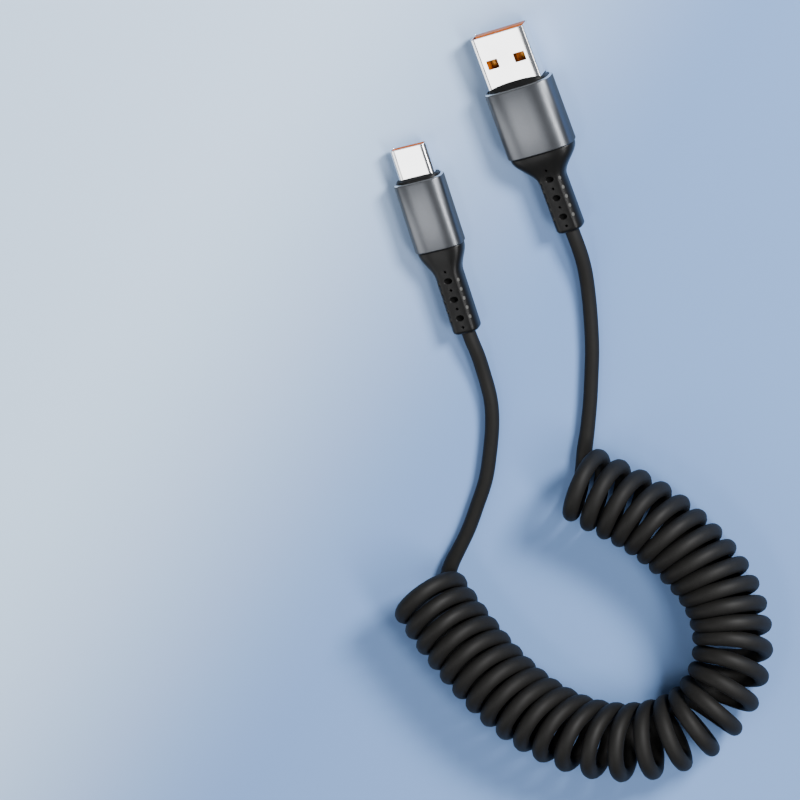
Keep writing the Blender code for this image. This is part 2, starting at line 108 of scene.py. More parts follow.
def unit(vectors):
    """The same vectors, each one long."""
    return vectors / np.linalg.norm(vectors, axis=-1, keepdims=True)


def lengths_along(path):
    """Length of the path up to each of its points."""
    return np.concatenate([[0.0], np.cumsum(np.linalg.norm(np.diff(path, axis=0), axis=1))])


def smooth_curve(points, count, leave=None):
    """A cubic curve through the points, as so many points. leave is the unit direction at its end."""
    points = np.array(points, float)
    knots = lengths_along(points)
    spans = np.diff(knots)
    slopes = np.diff(points, axis=0) / spans[:, None]
    system = np.eye(len(points))
    bends = np.zeros_like(points)
    for i in range(1, len(points) - 1):
        system[i, i - 1:i + 2] = spans[i - 1], 2 * (spans[i - 1] + spans[i]), spans[i]
        bends[i] = 6 * (slopes[i] - slopes[i - 1])
    if leave is not None:
        system[-1, -2:] = spans[-1], 2 * spans[-1]
        bends[-1] = 6 * (np.array(leave) - slopes[-1])
    bends = np.linalg.solve(system, bends)
    fine = np.linspace(0.0, knots[-1], count)
    span = np.clip(np.searchsorted(knots, fine) - 1, 0, len(spans) - 1)
    left = (knots[span + 1] - fine)[:, None]
    right = (fine - knots[span])[:, None]
    size = spans[span][:, None]
    return ((bends[span] * left ** 3 + bends[span + 1] * right ** 3) / (6 * size)
            + (points[span] / size - bends[span] * size / 6) * left
            + (points[span + 1] / size - bends[span + 1] * size / 6) * right)


axis_line = smooth_curve(COIL_AXIS, 2000)
print("axis of the curly stretch", round(lengths_along(axis_line)[-1], 1), "mm")

# %% [markdown]
# ## The winding
# A curly cord is wound on a rod and heated, and it keeps that shape: each turn is the same size and lies
# against the next. Laid in a U, it opens where it bends most. Its turns also lean over, because the floor
# and their own weight push their tops along the axis, and the end turns are pulled askew by the leads. A
# helix from an add-on or a Screw modifier stays straight and even, so the turns are computed here, one
# angle at a time, around the curved axis. Three short lists say how far apart, how leaning and how askew
# they are along the way.

# %% Wind the curly stretch
TURN_COUNT = 33
COIL_OUTER_DIAMETER = 17.3
COIL_WIRE_DIAMETER = 3.5
POINTS_PER_TURN = 28
PITCH_AT_TURN = [(0, 4.7), (3, 4.3), (6, 3.95), (9, 3.9), (11.5, 3.98), (13, 5.2), (15, 5.5), (19, 5.5),
                 (20.5, 5.1), (22.5, 4.45), (25, 4.1), (33, 4.05)]
LEAN_AT_TURN = [(0, 6), (3, 11), (6, 13), (9, 14), (11.5, 20), (13, 32), (15, 34), (19, 34), (20.5, 31),
                (22.5, 29), (25, 25), (33, 25)]
ASKEW_AT_TURN = [(0, 20), (3, 15), (7, 6), (11, 0), (22, 0), (26, 6), (30, 14), (33, 20)]
LEANING_WAY = (-0.45, 0.89)                 # where the tops have gone, as seen from above
PLANE_SWING = 0.5                           # how evenly the turns' planes share out the bend of the axis
LEAST_ROOM = 0.02                           # between turns that lie against each other


def ease(value, start, end):
    """0 before start, 1 after end, and a soft step between."""
    share = np.clip((value - start) / (end - start), 0, 1)
    return share * share * (3 - 2 * share)


def at_turn(table, turns):
    """Values between the pairs (turn, value) of a short list."""
    places, values = zip(*table)
    return np.interp(turns, places, values)


def wind(axis, turns):
    """Centreline of the wound cord in millimetres, at each number of turns from the charger's end."""
    radius = (COIL_OUTER_DIAMETER - COIL_WIRE_DIAMETER) / 2
    pitch = at_turn(PITCH_AT_TURN, turns)
    along = np.concatenate([[0.0], np.cumsum((pitch[1:] + pitch[:-1]) / 2 * np.diff(turns))])
    line = lengths_along(axis)
    pitch *= line[-1] / along[-1]
    along *= line[-1] / along[-1]
    centre = np.stack([np.interp(along, line, axis[:, i]) for i in (0, 1)], axis=1)
    forward = unit(np.gradient(centre, turns, axis=0))
    heading = np.unwrap(np.arctan2(forward[:, 1], forward[:, 0]))
    room = np.cumsum(np.maximum(pitch - COIL_WIRE_DIAMETER, LEAST_ROOM))
    shared = heading[0] + (heading[-1] - heading[0]) * (room - room[0]) / (room[-1] - room[0])
    facing = heading * (1 - PLANE_SWING) + shared * PLANE_SWING + np.radians(at_turn(ASKEW_AT_TURN, turns))
    normal = np.stack([np.cos(facing), np.sin(facing)], axis=1)
    inward = np.stack([normal[:, 1], -normal[:, 0]], axis=1)
    angle = 2 * math.pi * turns
    height = -radius * np.cos(angle)
    lean = np.tan(np.radians(at_turn(LEAN_AT_TURN, turns))) * (normal @ unit(np.array(LEANING_WAY))) * height
    flat = centre + inward * (radius * np.sin(angle))[:, None] + normal * lean[:, None]
    return np.column_stack([flat, height + COIL_OUTER_DIAMETER / 2])


turns = np.linspace(0, TURN_COUNT, TURN_COUNT * POINTS_PER_TURN + 1)
winding = wind(axis_line, turns)
print("wound cord", round(lengths_along(winding)[-1]), "mm in", TURN_COUNT, "turns")

# %% [markdown]
# ## The whole cord
# The cord is one piece from boot to boot, so leads and winding join into one line. Each lead starts a little
# inside its boot. The cord is stretched thinner where it was pulled straight, so it swells softly from the
# leads to the winding, and the line is lifted where the thicker cord would dip into the floor.

# %% Join leads and winding into one line
LEAD_CURVE_POINTS = 60
CORD_INSIDE_BOOT = 1.5
LEAD_DIAMETER = 3.1
THICKENING_LENGTH = 14.0                    # over which the cord swells from the lead's size to the coil's


def lead_into(route, join, direction):
    """Points of a lead from inside its boot to where the winding takes over, without that last point."""
    start, beside = np.array(route[0]), np.array(route[1])
    first = start - unit(beside - start) * CORD_INSIDE_BOOT
    return smooth_curve([first, *route, join], LEAD_CURVE_POINTS, leave=direction)[:-1]


charger_lead = lead_into(CHARGER_LEAD_ROUTE, winding[0], unit(winding[1] - winding[0]))
phone_lead = lead_into(PHONE_LEAD_ROUTE, winding[-1], unit(winding[-2] - winding[-1]))
cord_line = np.vstack([charger_lead, winding, phone_lead[::-1]])
from_start = lengths_along(cord_line)
lead_ends = from_start[len(charger_lead)], from_start[-1] - from_start[-len(phone_lead) - 1]
swell = (ease(from_start, lead_ends[0] - THICKENING_LENGTH, lead_ends[0])
         * ease(from_start[-1] - from_start, lead_ends[1] - THICKENING_LENGTH, lead_ends[1]))
cord_radius = (LEAD_DIAMETER + (COIL_WIRE_DIAMETER - LEAD_DIAMETER) * swell) / 2
cord_line[:, 2] = np.maximum(cord_line[:, 2], cord_radius)          # so that it rests on the floor, not in it

# %% [markdown]
# ## The jacket
# The jacket is extruded round the wires. A curve object with a round bevel would give this shape at once. A
# tube made ring by ring can change its thickness on the way, and its rings are carried along the line
# without twisting, so the faces stay even in the tightest turns.

# %% Turn a line into a tube
CORD_SIDES = 18
SHARP_ANGLE = math.radians(35)              # edges that are sharper than this keep a crisp line


def finish_mesh(name, mesh):
    """A smooth-shaded object of the mesh, with its sharp edges kept."""
    mesh.shade_smooth()
    mesh.set_sharp_from_angle(angle=SHARP_ANGLE)
    piece = bpy.data.objects.new(name, mesh)
    bpy.context.scene.collection.objects.link(piece)
    return piece


def tube(name, line, radius, sides):
    """Closed tube along a line, with its own radius at each point."""
    forward = unit(np.gradient(line, axis=0))
    across = unit(np.cross(forward[0], (0.0, 0.0, 1.0)))
    angles = np.linspace(0, 2 * math.pi, sides, endpoint=False)
    bm = bmesh.new()
    rings = []
    for point, ahead, size in zip(line, forward, radius):
        across = unit(across - ahead * np.dot(across, ahead))
        up = np.cross(across, ahead)
        rings.append([bm.verts.new(point + size * (across * math.cos(a) + up * math.sin(a))) for a in angles])
    for near, far in zip(rings, rings[1:]):
        for j in range(sides):
            k = (j + 1) % sides
            bm.faces.new((near[j], near[k], far[k], far[j]))
    bm.faces.new(rings[0])
    bm.faces.new(rings[-1])
    bmesh.ops.recalc_face_normals(bm, faces=bm.faces)
    mesh = bpy.data.meshes.new(name)
    bm.to_mesh(mesh)
    bm.free()
    return finish_mesh(name, mesh)


cord = tube("coiled_cord", cord_line * MM, cord_radius * MM, CORD_SIDES)
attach(cord, "root")
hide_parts("charger_lead", "coil", "phone_lead")
print("cord mesh:", len(cord.data.polygons), "faces")

# %% [markdown]
# ## Outlines of the moulded and drawn parts
# Sleeve, holder and boot all share one kind of outline: an oval with crowned broad faces, which a
# superellipse gives with one number for how square it is. The metal shells are rounded rectangles. All
# outlines here have the same number of points, at the same angles, so one can be lofted into another.

# %% Outlines
CROWN_POWER = 3.0                           # 2 is an ellipse, and more is squarer
CROWN_FLAT = 3.0                            # width of the flat along the middle
WIDEST_FLAT = 0.9                           # of the outline's width, where that is narrow
QUARTER_STEPS = 16


def crowned(width, height):
    """Outline (x, z) of a crowned oval with a flat along the middle of its top and its underside."""
    flat_share = min(CROWN_FLAT / width, WIDEST_FLAT)
    crown = height / 2 / (1 - flat_share ** CROWN_POWER) ** (1 / CROWN_POWER)
    end = math.asin((height / 2 / crown) ** (CROWN_POWER / 2))
    angle = end * np.arange(QUARTER_STEPS + 1) / QUARTER_STEPS
    x = width / 2 * np.cos(angle) ** (2 / CROWN_POWER)
    z = crown * np.sin(angle) ** (2 / CROWN_POWER)
    return np.vstack([np.column_stack([x, z]), np.column_stack([-x, z])[::-1],
                      np.column_stack([-x, -z])[1:], np.column_stack([x, -z])[:0:-1]])


def rounded_like(outline, width, height, radius):
    """Rounded rectangle with a point in the direction of each point of another outline."""
    places = []
    for x, z in outline / (np.abs(outline).max(axis=0) / (width / 2, height / 2)):
        stretch = min(width / 2 / max(abs(x), 1e-9), height / 2 / max(abs(z), 1e-9))
        px, pz = x * stretch, z * stretch
        cx, cz = width / 2 - radius, height / 2 - radius
        if abs(px) > cx and abs(pz) > cz:
            away = np.array([abs(px) - cx, abs(pz) - cz])
            away = away / np.linalg.norm(away) * radius
            px, pz = math.copysign(cx + away[0], px), math.copysign(cz + away[1], pz)
        places.append((px, pz))
    return np.array(places)


def round_like(outline, radius):
    """Circle with a point in the direction of each point of another outline."""
    return unit(outline / np.abs(outline).max(axis=0)) * radius


print("points in each outline:", len(crowned(1, 1)))

# %% [markdown]
# ## Lofting and carving
# Most pieces of a plug are an outline that changes along the plug, so one function lofts outlines into a
# body, and another takes holes out of it. A Bevel modifier could round the edges later. Here each rounding
# is a few more outlines of the loft, so that it has its true radius, also round an oval.

# %% Loft and carve
def loft(name, sections, hollow=False, bands=()):
    """Closed body through sections (y, outline) in millimetres.

    A hollow body is a ring: its last section joins its first one. bands holds (first, last, slot) of the
    spans between sections that take another material slot.
    """
    bm = bmesh.new()
    rings = [[bm.verts.new((x * MM, y * MM, z * MM)) for x, z in outline] for y, outline in sections]
    pairs = list(zip(rings, rings[1:])) + ([(rings[-1], rings[0])] if hollow else [])
    for span, (near, far) in enumerate(pairs):
        material_slot = next((slot for first, last, slot in bands if first <= span < last), 0)
        for i in range(len(near)):
            j = (i + 1) % len(near)
            bm.faces.new((near[i], far[i], far[j], near[j])).material_index = material_slot
    if not hollow:
        bm.faces.new(rings[0])
        bm.faces.new(rings[-1])
    bmesh.ops.recalc_face_normals(bm, faces=bm.faces)
    mesh = bpy.data.meshes.new(name)
    bm.to_mesh(mesh)
    bm.free()
    return finish_mesh(name, mesh)


def turned(points, matrix):
    """Points moved by a matrix."""
    return [matrix @ Vector(point) for point in points]


def carve(piece, bodies):
    """Take closed bodies out of a piece. Each is a list of rings of points in millimetres."""
    bm = bmesh.new()
    for rings in bodies:
        rings = [[bm.verts.new(Vector(point) * MM) for point in ring] for ring in rings]
        for near, far in zip(rings, rings[1:]):
            for i in range(len(near)):
                j = (i + 1) % len(near)
                bm.faces.new((near[i], far[i], far[j], near[j]))
        bm.faces.new(rings[0])
        bm.faces.new(rings[-1])
    bmesh.ops.recalc_face_normals(bm, faces=bm.faces)
    mesh = bpy.data.meshes.new("carving")
    bm.to_mesh(mesh)
    bm.free()
    cutter = bpy.data.objects.new("carving", mesh)
    bpy.context.scene.collection.objects.link(cutter)
    boolean = piece.modifiers.new("carve", "BOOLEAN")
    boolean.operation, boolean.solver, boolean.object = "DIFFERENCE", "EXACT", cutter
    depsgraph = bpy.context.evaluated_depsgraph_get()
    carved = bpy.data.meshes.new_from_object(piece.evaluated_get(depsgraph))
    piece.modifiers.clear()
    whole = piece.data
    piece.data = carved
    carved.name = whole.name
    carved.set_sharp_from_angle(angle=SHARP_ANGLE)
    bpy.data.objects.remove(cutter)
    for used in (whole, mesh):
        bpy.data.meshes.remove(used)


print("edges of more than", round(math.degrees(SHARP_ANGLE)), "degrees stay crisp")

# %% [markdown]
# ## Where the plugs lie
# Each plug is made in a frame of its own, with its mouth along +Y and the tail end of its boot at Y = 0,
# and the finished pieces are turned into place together. This keeps every length readable, and the noise
# of a finish then runs along the plug and not along the floor.

# %% Place a plug
PLUG_PLACES = {                             # tail end of the boot, and the way the mouth points
    "charger_plug": ((18.53, -9.59), math.radians(110.6)),
    "phone_plug": ((-4.03, -34.4), math.radians(108.1))}
SLEEVE_SIZE = {"charger_plug": (15.0, 8.2), "phone_plug": (11.0, 6.5)}
SLEEVE_LENGTH = {"charger_plug": 15.0, "phone_plug": 15.6}
BOOT_LENGTH = {"charger_plug": 18.4, "phone_plug": 19.4}
RIM = {plug: BOOT_LENGTH[plug] + SLEEVE_LENGTH[plug] for plug in PLUG_PLACES}


def place(piece, plug, slot, *nodes):
    """Lay a finished piece where its plug lies, and let it stand for its nodes."""
    (x, y), heading = PLUG_PLACES[plug]
    piece.matrix_world = (Matrix.Translation((x * MM, y * MM, SLEEVE_SIZE[plug][1] / 2 * MM))
                          @ Matrix.Rotation(heading - math.pi / 2, 4, "Z"))
    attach(piece, "root")
    if nodes:
        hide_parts(*nodes)
    return piece


pieces = {}
print("the sleeves' front rims, in mm from the tails:", RIM)

# %% [markdown]
# ## The sleeves
# Each sleeve is a short tube of drawn aluminium, blasted and dyed grey, whose front rim is then cut with a
# diamond tool. The cut edge is bare metal and catches the light as a thin bright line. It is a band of faces
# with a material of its own, because a painted line would have no slope to catch the light. The inside of the
# tube is a third band, in the black of the holder, which is painted shade.

# %% Sleeves
SLEEVE_WALL = 0.6
SLEEVE_CHAMFER = 0.3
BASE_EASE = 0.1                             # of the rim that meets the boot
RIM_ROUND = 0.05


def sleeve(plug):
    """Tube with a cut chamfer at its front rim and an eased edge at the boot."""
    width, height = SLEEVE_SIZE[plug]
    base, end = BOOT_LENGTH[plug], RIM[plug]
    slim = crowned(width - 2 * SLEEVE_CHAMFER, height - 2 * SLEEVE_CHAMFER)
    eased = crowned(width - 2 * BASE_EASE, height - 2 * BASE_EASE)
    bore = crowned(width - 2 * SLEEVE_WALL, height - 2 * SLEEVE_WALL)
    bore_open = 2 * (SLEEVE_WALL - RIM_ROUND)
    opened = crowned(width - bore_open, height - bore_open)
    full = crowned(width, height)
    soft = crowned(width - RIM_ROUND, height - RIM_ROUND)
    cut = end - SLEEVE_CHAMFER
    sections = [(base, eased), (base + BASE_EASE, soft), (base + 2 * BASE_EASE, full),
                (cut - RIM_ROUND, full), (cut + RIM_ROUND, soft), (end, slim),
                (end, opened), (end - RIM_ROUND, bore), (base + RIM_ROUND, bore), (base, opened)]
    # The third slot, the inside of the tube, takes the black holder finish as painted shade.
    bands = [(4, 6, 1), (6, 8, 2)]          # the cut rim, and the inside of the tube
    return place(loft(plug + "_sleeve_tube", sections, True, bands), plug, "sleeve", plug + "_sleeve")


pieces["charger sleeve"] = sleeve("charger_plug")
pieces["phone sleeve"] = sleeve("phone_plug")
print("sleeves:", [len(pieces[name].data.polygons) for name in ("charger sleeve", "phone sleeve")], "faces")

# %% [markdown]
# ## The boots
# A boot is rubber moulded straight on the cord. It keeps the cord from bending sharply where it enters the
# plug. It swells in a soft S from the tail up to the sleeve, and ends in a neck that the sleeve hides. A box
# with a subdivision surface could give the S, but its outlines wouldn't stay those of the sleeve. Here they
# are lofted one after another, and half a wave of a cosine says how far each has grown.

# %% Boots
SHOULDER_LENGTH = {"charger_plug": 7.0, "phone_plug": 6.5}
TAIL_WIDTH, TAIL_HEIGHT = 6.0, 5.2
TAIL_END_ROUND = 0.8
CORD_PLAY = 0.05
CORD_RIM = [(1.4, 0.0), (0.16, 0.0), (0.04, 0.08), (0.0, 0.2)]      # how far in, and how much wider there
BOOT_STEP = 0.35                            # from the sleeve's outline down to the shoulder's
SHOULDER_END = 0.25                         # how far before the sleeve the S has reached its full size
NECK_INSIDE, NECK_PLAY = 1.5, 0.2
TAIL_STEP, SHOULDER_STEPS = 0.4, 26


def boot_body(plug):
    """Boot from the rim round the cord, over its tail and shoulder, to its neck inside the sleeve."""
    length, shoulder = BOOT_LENGTH[plug], SHOULDER_LENGTH[plug]
    tail = crowned(TAIL_WIDTH, TAIL_HEIGHT)
    hole = LEAD_DIAMETER / 2 + CORD_PLAY
    sections = [(y, round_like(tail, hole + wider)) for y, wider in CORD_RIM]
    for angle in np.radians((0, 15, 30, 45, 60, 75, 90)):
        inset = TAIL_END_ROUND * (1 - math.sin(angle))
        sections.append((TAIL_END_ROUND * (1 - math.cos(angle)),
                         crowned(TAIL_WIDTH - 2 * inset, TAIL_HEIGHT - 2 * inset)))
    straight = length - shoulder
    for y in np.arange(TAIL_END_ROUND + TAIL_STEP, straight - TAIL_STEP / 2, TAIL_STEP):
        sections.append((y, tail))
    full_width, full_height = (side - 2 * BOOT_STEP for side in SLEEVE_SIZE[plug])
    for share in np.linspace(0, 1, SHOULDER_STEPS):
        rise = (1 - math.cos(math.pi * share)) / 2
        sections.append((straight + (shoulder - SHOULDER_END) * share,
                         crowned(TAIL_WIDTH + (full_width - TAIL_WIDTH) * rise,
                                 TAIL_HEIGHT + (full_height - TAIL_HEIGHT) * rise)))
    neck = crowned(*(side - 2 * SLEEVE_WALL - NECK_PLAY for side in SLEEVE_SIZE[plug]))
    sections += [(length - 0.13, crowned(full_width - 0.1, full_height - 0.1)), (length - 0.1, neck),
                 (length + NECK_INSIDE, neck)]
    return loft(plug + "_boot_moulding", sections)


print("boots, in mm from tail to sleeve:", BOOT_LENGTH)

# %% [markdown]
# ## The holes and the pips
# Along each broad face runs a row of seven holes, large and small in turn, and beside it on both edges a row
# of five shallow pips. Bodies are carved out for them that flare at the top, because a moulded hole has a
# soft rim that shows as a small bright crescent. Displacing a flat surface could make the dents, but not
# walls as steep as these. The faces in the holes and in the pips get material slots of their own: down in a
# hole the rubber is rougher and coloured darker as painted shade, and in a pip it is paler.

# %% Flex holes and pips
FLEX_PITCH, FLEX_START, FLEX_COUNT = 2.13, 1.55, 7
LARGE_HOLE, SMALL_HOLE = (1.6, 1.15), (0.55, 0.55)
HOLE_DEPTH, HOLE_FLARE = 0.9, 0.14
PIP_PITCH, PIP_START, PIP_COUNT = 2.1, 3.5, 5
PIP_SIZE, PIP_DEPTH, PIP_FLARE, PIP_ASIDE = (0.7, 0.95), 0.3, 0.08, 2.25
FLARE_SHAPE = [(0.0, 0.0), (1.0, 0.35), (1.7, 1.0), (2.0, 2.0)]     # how much narrower, and how deep
CARVE_FROM_ABOVE = 1.0
UNCUT_CROWN = 1.045                         # of the tail's height, if its flats weren't cut off it
ROWS_PAST_STRAIGHT = 4.0
HOLE_SHARE, PIP_SHARE = 0.85, 0.95          # faces below this share of the outline belong to a hole


def oval_ring(wide, long, depth, matrix, steps=24):
    """Ring of points of an oval hole, so deep below the surface that the matrix stands on."""
    angles = np.linspace(0, 2 * math.pi, steps, endpoint=False)
    return turned([(math.cos(a) * wide / 2, math.sin(a) * long / 2, -depth) for a in angles], matrix)


def flared_hole(size, depth, flare, matrix):
    """Body of a hole with a soft rim. It starts above the surface, so that it opens it wholly."""
    wide, long = (side + 2 * flare for side in size)
    profile = [(2 * flare, -CARVE_FROM_ABOVE), *((-flare * less, flare * deep) for less, deep in FLARE_SHAPE),
               (-2 * flare, depth)]
    return [oval_ring(wide + extra, long + extra, deep, matrix) for extra, deep in profile]


def boot_holes():
    """Holes along both broad faces of a boot and pips along their edges."""
    holes = []
    aside = 2 * PIP_ASIDE / TAIL_WIDTH
    up = TAIL_HEIGHT / 2 * (1 - aside ** CROWN_POWER) ** (1 / CROWN_POWER) * UNCUT_CROWN
    tilt = math.atan2(aside ** 2 / TAIL_WIDTH, (2 * up / TAIL_HEIGHT) ** 2 / TAIL_HEIGHT)
    for side in (1, -1):
        over = Matrix.Rotation(0 if side > 0 else math.pi, 4, "Y")
        for i in range(FLEX_COUNT):
            size, flare = (LARGE_HOLE, HOLE_FLARE) if i % 2 else (SMALL_HOLE, HOLE_FLARE / 3)
            spot = Matrix.Translation((0, FLEX_START + i * FLEX_PITCH, side * TAIL_HEIGHT / 2)) @ over
            holes.append(flared_hole(size, HOLE_DEPTH, flare, spot))
        for edge in (1, -1):
            for i in range(PIP_COUNT):
                spot = (Matrix.Translation((edge * PIP_ASIDE, PIP_START + i * PIP_PITCH, side * up)) @ over
                        @ Matrix.Rotation(edge * side * tilt, 4, "Y"))
                holes.append(flared_hole(PIP_SIZE, PIP_DEPTH, PIP_FLARE, spot))
    return holes


for plug in PLUG_PLACES:
    body = boot_body(plug)
    carve(body, boot_holes())
    rows_end = BOOT_LENGTH[plug] - SHOULDER_LENGTH[plug] + ROWS_PAST_STRAIGHT
    for face in body.data.polygons:
        x, y, z = face.center / MM
        inside = abs(x / TAIL_WIDTH * 2) ** CROWN_POWER + abs(z / TAIL_HEIGHT * 2) ** CROWN_POWER
        if not TAIL_END_ROUND < y < rows_end:
            continue
        # Faces down in a hole take the rough rubber, coloured darker as painted shade.
        if abs(x) < LARGE_HOLE[0] / 2 and inside < HOLE_SHARE:
            face.material_index = 1
        elif abs(abs(x) - PIP_ASIDE) < PIP_SIZE[0] and abs(z) > 1 and inside < PIP_SHARE:
            face.material_index = 2
    pieces[plug.split("_")[0] + " boot"] = place(body, plug, "boot", plug + "_boot")
    print(plug, "boot:", len(body.data.polygons), "faces")

# %% [markdown]
# ## The holders
# Round each metal shell a black plastic holder closes the sleeve. At the charger plug it starts at the rim
# of the sleeve and bulges out in the middle of its broad sides, so that it shows as a dark arc at the foot
# of the shell. At the phone plug it stands proud as a small collar. It is one ring, lofted from the oval of
# the sleeve to the rectangle of the shell, and the bulge is a move of the points that lie in front.

# %% Holders
SHELL_SIZE = {"charger_plug": (12.0, 4.5), "phone_plug": (8.25, 2.4)}
SHELL_CORNER = {"charger_plug": 0.6, "phone_plug": 1.15}
HOLDER_LENGTH = 4.0
HOLDER_ROUND = 0.25
HOLDER_EASE = 0.06
FIT = 0.1


def holder(plug, front, dome, bulge):
    """Ring between sleeve and shell.

    dome is how far its inner edge stands out past its outer one, and bulge is how much further it stands
    out in the middle of the broad sides.
    """
    width, height = (side - 2 * (SLEEVE_WALL + FIT) for side in SLEEVE_SIZE[plug])
    full = crowned(width, height)
    inner = rounded_like(full, *(side + 2 * FIT for side in SHELL_SIZE[plug]), SHELL_CORNER[plug] + FIT)
    sections = [(front - HOLDER_LENGTH, full)]
    for angle in np.radians((0, 22.5, 45, 67.5, 90)):
        inset = HOLDER_ROUND * (1 - math.cos(angle))
        sections.append((front - dome - HOLDER_ROUND * (1 - math.sin(angle)),
                         crowned(width - 2 * inset, height - 2 * inset)))
    last = sections[-1][1]
    for share in (0.25, 0.5, 0.75, 0.92):
        sections.append((front - dome + dome * math.sin(share * math.pi / 2), last + (inner - last) * share))
    sections += [(front - HOLDER_EASE, inner), (front - HOLDER_LENGTH, inner)]
    ring = loft(plug + "_holder_ring", sections, True)
    start, half_wide = (front - dome - HOLDER_ROUND) * MM, width / 2 * MM
    for vertex in ring.data.vertices:
        if vertex.co.y > start:
            arc = math.sqrt(max(0.0, 1 - (vertex.co.x / half_wide) ** 2))
            vertex.co.y += bulge * MM * arc * (vertex.co.y - start) / (front * MM - start)
    return place(ring, plug, "holder", plug + "_holder")


pieces["charger holder"] = holder("charger_plug", front=RIM["charger_plug"] - 0.05, dome=0.2, bulge=1.3)
pieces["phone holder"] = holder("phone_plug", front=RIM["phone_plug"] + 0.6, dome=0.12, bulge=0.0)
print("holders:", [len(pieces[name].data.polygons) for name in ("charger holder", "phone holder")], "faces")

# %% [markdown]
# ## The shells
# The shells are folded or drawn from thin steel and plated with bright nickel. Their walls are only three
# tenths of a millimetre thick and their mouths are slightly rounded, so a plug slides in. The charger's
# shell has two latch windows in each broad wall, through which the orange tongue shows.

# %% Shells
SHELL_WALL = 0.3
MOUTH_ROUND = 0.1
SHELL_MOUTH = {"charger_plug": RIM["charger_plug"] + 12.1, "phone_plug": RIM["phone_plug"] + 7.3}
WINDOW_WIDTH, WINDOW_LENGTH, WINDOW_CORNER = 2.5, 2.0, 0.12
WINDOW_SPACING, WINDOW_SETBACK = 6.1, 5.2
THROUGH_SHELL = 4.0


def shell(plug, inside_sleeve):
    """Thin shell with a rounded mouth, which starts so far inside its sleeve."""
    size, corner, mouth = SHELL_SIZE[plug], SHELL_CORNER[plug], SHELL_MOUTH[plug]
    angles_like = crowned(*size)
    inner_size = [side - 2 * SHELL_WALL for side in size]
    root = RIM[plug] - inside_sleeve
    sections = [(root, rounded_like(angles_like, *size, corner))]
    for angle in np.radians((0, 30, 60, 90)):
        inset = MOUTH_ROUND * (1 - math.cos(angle))
        sections.append((mouth - MOUTH_ROUND * (1 - math.sin(angle)),
                         rounded_like(angles_like, *(side - 2 * inset for side in size), corner - inset)))
    for angle in np.radians((90, 45, 0)):
        inset = MOUTH_ROUND * (1 - math.cos(angle))
        sections.append((mouth - MOUTH_ROUND * (1 - math.sin(angle)),
                         rounded_like(angles_like, *(side + 2 * inset for side in inner_size),
                                      corner - SHELL_WALL + inset)))
    sections.append((root, sections[-1][1]))
    return loft(plug + "_shell_wall", sections, True)


def keep_flats_flat(piece):
    """Let large faces set the shading where they meet small ones, so that a flat doesn't shade as a bulge."""
    weighted = piece.modifiers.new("flat faces", "WEIGHTED_NORMAL")
    weighted.keep_sharp = True
    weighted.weight = 100


def windows():
    """Bodies that go through both broad walls of the charger's shell."""
    x, y = WINDOW_WIDTH / 2, WINDOW_LENGTH / 2
    short_x, short_y = x - WINDOW_CORNER, y - WINDOW_CORNER
    ring = [(x, short_y), (short_x, y), (-short_x, y), (-x, short_y),
            (-x, -short_y), (-short_x, -y), (short_x, -y), (x, -short_y)]
    middle_y = SHELL_MOUTH["charger_plug"] - WINDOW_SETBACK - WINDOW_LENGTH / 2
    middles = [Matrix.Translation((side * WINDOW_SPACING / 2, middle_y, 0)) for side in (-1, 1)]
    return [[turned([(x, y, z) for x, y in ring], middle) for z in (-THROUGH_SHELL, THROUGH_SHELL)]
            for middle in middles]


for plug, inside_sleeve in (("charger_plug", 3.5), ("phone_plug", 2.5)):
    body = shell(plug, inside_sleeve)
    if plug == "charger_plug":
        carve(body, windows())
    keep_flats_flat(body)
    pieces[plug.split("_")[0] + " shell"] = place(body, plug, "plug_shell", plug + "_shell")
    print(plug, "shell:", len(body.data.polygons), "faces")

# %% [markdown]
# ## The orange plastic and the contacts
# The tongue in the charger's plug carries four gold-plated contacts in grooves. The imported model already
# has them at their real size, so those nodes stay and only get their finish. The phone plug's insert is
# made again with a finer slot, and a row of narrow contact springs along both of its lips. Each spring is a
# small strip that bends toward the slot's middle near the mouth, drawn once from the side.

# %% Insert and contact springs of the phone plug
INSERT_LENGTH_INSIDE, INSERT_SETBACK, INSERT_EASE = 2.5, 0.05, 0.08
SLOT_SIZE, SLOT_CORNER, SLOT_DEPTH = (6.7, 0.8), 0.35, 5.4
SLOT_FLARE, FLARE_DEPTH = (1.04, 1.3), 0.3
SPRING_COUNT, SPRING_PITCH, SPRING_WIDTH = 12, 0.5, 0.24
# A spring from the side: how far behind the insert's front, and how far from the middle of the slot.
SPRING_SIDE = [(0.35, 0.39), (0.6, 0.30), (1.4, 0.24), (4.5, 0.34), (4.5, 0.42), (0.5, 0.42)]

fill = [side - 2 * (SHELL_WALL + FIT) for side in SHELL_SIZE["phone_plug"]]
angles_like = crowned(*SHELL_SIZE["phone_plug"])
block = rounded_like(angles_like, *fill, fill[1] / 2 - 0.05)
insert_front = SHELL_MOUTH["phone_plug"] - INSERT_SETBACK
body = loft("phone_plug_insert_block", [(RIM["phone_plug"] - INSERT_LENGTH_INSIDE, block),
                                        (insert_front - INSERT_EASE, block), (insert_front, block * 0.96)])
slot = rounded_like(angles_like, *SLOT_SIZE, SLOT_CORNER)
flared = slot * SLOT_FLARE
carve(body, [[[(x, y, z) for x, z in outline] for y, outline in (
    (insert_front + 1, flared), (insert_front - 0.02, flared), (insert_front - FLARE_DEPTH, slot),
    (insert_front - SLOT_DEPTH, slot))]])
pieces["phone insert"] = place(body, "phone_plug", "orange_plastic", "phone_plug_insert")

